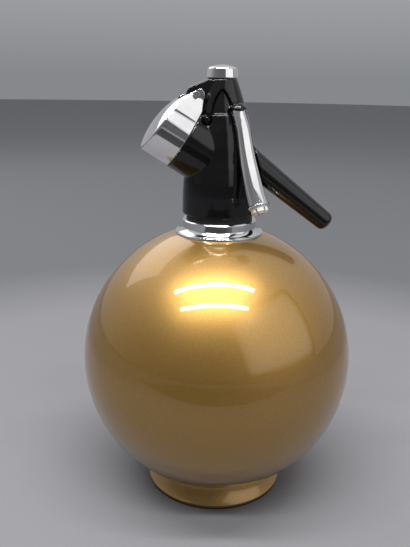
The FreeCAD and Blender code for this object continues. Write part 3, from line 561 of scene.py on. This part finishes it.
def add_world():
    """A grey room, paler overhead and dark in front, behind an even grey backdrop."""
    world = bpy.data.worlds.new("room")
    bpy.context.scene.world = world
    world.use_nodes = True
    tree = world.node_tree
    background = tree.nodes["Background"]
    direction = tree.nodes.new("ShaderNodeSeparateXYZ")
    place = tree.nodes.new("ShaderNodeTexCoord").outputs["Generated"]
    tree.links.new(place, direction.inputs[0])
    front = tree.nodes.new("ShaderNodeMapRange")
    front.inputs["From Min"].default_value = -1
    tree.links.new(direction.outputs["Y"], front.inputs["Value"])
    upward = graded(
        tree, direction.outputs["Z"], [(0.0, 0.42), (0.3, 0.45), (0.7, 0.7), (1.0, 0.8)]
    )
    backward = graded(tree, front.outputs["Result"], [(0.0, 0.3), (0.3, 0.45), (0.6, 1.0)])
    room = tree.nodes.new("ShaderNodeMix")
    room.data_type = "RGBA"
    room.blend_type = "MULTIPLY"
    room.inputs["Factor"].default_value = 1
    tree.links.new(upward, room.inputs["A"])
    tree.links.new(backward, room.inputs["B"])
    wall = colour_ramp(tree, [(0.0, HORIZON), (BACKDROP_TOP, BACKDROP)])
    tree.links.new(direction.outputs["Z"], wall.inputs["Fac"])
    seen = tree.nodes.new("ShaderNodeMix")
    seen.data_type = "RGBA"
    camera_ray = tree.nodes.new("ShaderNodeLightPath").outputs["Is Camera Ray"]
    tree.links.new(camera_ray, seen.inputs["Factor"])
    tree.links.new(room.outputs["Result"], seen.inputs["A"])
    tree.links.new(wall.outputs["Color"], seen.inputs["B"])
    tree.links.new(seen.outputs["Result"], background.inputs["Color"])


def edge_fade(tree, output, brightest):
    """A brightness that falls smoothly to nothing at both ends of one axis of the card."""
    distance = tree.nodes.new("ShaderNodeMath")
    distance.operation = "ABSOLUTE"
    tree.links.new(output, distance.inputs[0])
    fade = tree.nodes.new("ShaderNodeMapRange")
    fade.interpolation_type = "SMOOTHSTEP"
    fade.inputs["From Min"].default_value = 1
    fade.inputs["From Max"].default_value = WINDOW_EDGE
    fade.inputs["To Max"].default_value = brightest
    tree.links.new(distance.outputs[0], fade.inputs["Value"])
    return fade.outputs["Result"]


def window_glow():
    """An emission that is even in the card's middle and fades towards its edges."""
    glow = bpy.data.materials.new("window_glow")
    glow.use_nodes = True
    tree = glow.node_tree
    tree.nodes.remove(tree.nodes["Principled BSDF"])
    across = tree.nodes.new("ShaderNodeSeparateXYZ")
    place = tree.nodes.new("ShaderNodeTexCoord").outputs["Object"]
    tree.links.new(place, across.inputs[0])
    strength = tree.nodes.new("ShaderNodeMath")
    strength.operation = "MULTIPLY"
    tree.links.new(edge_fade(tree, across.outputs["X"], WINDOW_GLOW), strength.inputs[0])
    tree.links.new(edge_fade(tree, across.outputs["Y"], 1), strength.inputs[1])
    emission = tree.nodes.new("ShaderNodeEmission")
    tree.links.new(strength.outputs[0], emission.inputs["Strength"])
    tree.links.new(emission.outputs[0], tree.nodes["Material Output"].inputs["Surface"])
    return glow


def add_window():
    """A large soft card to the right, whose light fades towards its edges."""
    bpy.ops.mesh.primitive_plane_add(size=2, location=WINDOW_PLACE)
    card = bpy.context.object
    card.name = "window_card"
    card.scale = WINDOW_HALF_SIZE
    card.rotation_mode = "QUATERNION"
    card.rotation_quaternion = (card.location - WINDOW_AIM).to_track_quat("Z", "Y")
    card.data.materials.append(window_glow())
    card.visible_camera = False


def add_lamp(name, place, aim, size, power):
    """A rectangular soft lamp at a place, aimed at a point."""
    light = bpy.data.lights.new(name, "AREA")
    light.shape = "RECTANGLE"
    light.size, light.size_y = size
    light.energy = power
    lamp = bpy.data.objects.new(name, light)
    bpy.context.scene.collection.objects.link(lamp)
    lamp.location = place
    lamp.rotation_mode = "QUATERNION"
    lamp.rotation_quaternion = (Vector(place) - Vector(aim)).to_track_quat("Z", "Y")


def add_lights():
    """Two ceiling strips, seen as bars on the globe, and a fill behind."""
    under_strips = (-0.1, -0.3, 0)
    add_lamp("strip_back", (-0.1, -0.3, 1.6), under_strips, STRIP_SIZE, STRIP_POWER)
    add_lamp("strip_front", (-0.1, -0.86, 1.6), under_strips, STRIP_SIZE, STRIP_POWER)
    add_lamp("fill_back", (-0.8, 1.0, 1.1), (0, 0, 0.15), size=(1.2, 0.8), power=4)


def add_camera():
    """The photograph's viewpoint: pitched down, rolled slightly."""
    place = Vector((-0.0072, -0.34665, 0.2305))
    pitch = 0.295
    roll = 0.017
    focal_pixels = 650
    sensor = 36
    ahead = Vector((0, math.cos(pitch), -math.sin(pitch)))
    right = Vector((1, 0, 0))
    above = right.cross(ahead)
    side = right * math.cos(roll) + above * math.sin(roll)
    top = above * math.cos(roll) - right * math.sin(roll)
    data = bpy.data.cameras.new("photo_camera")
    data.sensor_width = sensor
    data.lens = sensor * focal_pixels / max(PHOTO_WIDTH, PHOTO_HEIGHT)
    data.clip_start = 0.01
    camera = bpy.data.objects.new("photo_camera", data)
    bpy.context.scene.collection.objects.link(camera)
    axes = Matrix((side, top, -ahead)).transposed()
    camera.matrix_world = Matrix.Translation(place) @ axes.to_4x4()
    bpy.context.scene.camera = camera


dress_nodes()
soften("head_cowl", voxel=0.00025, passes=16)
soften("head_body", voxel=0.0003, passes=6)
soften("lever_handle", voxel=0.0003, passes=6)
add_globe()
add_spout()
add_spring("valve_coil", "valve_spring", 0.0005)
add_spring(
    "check_valve_coil", "check_valve_spring", 0.00025
)
add_floor()
add_shade_reflection_card()
add_world()
add_window()
add_lights()
add_camera()
bpy.context.scene.view_settings.view_transform = "Standard"
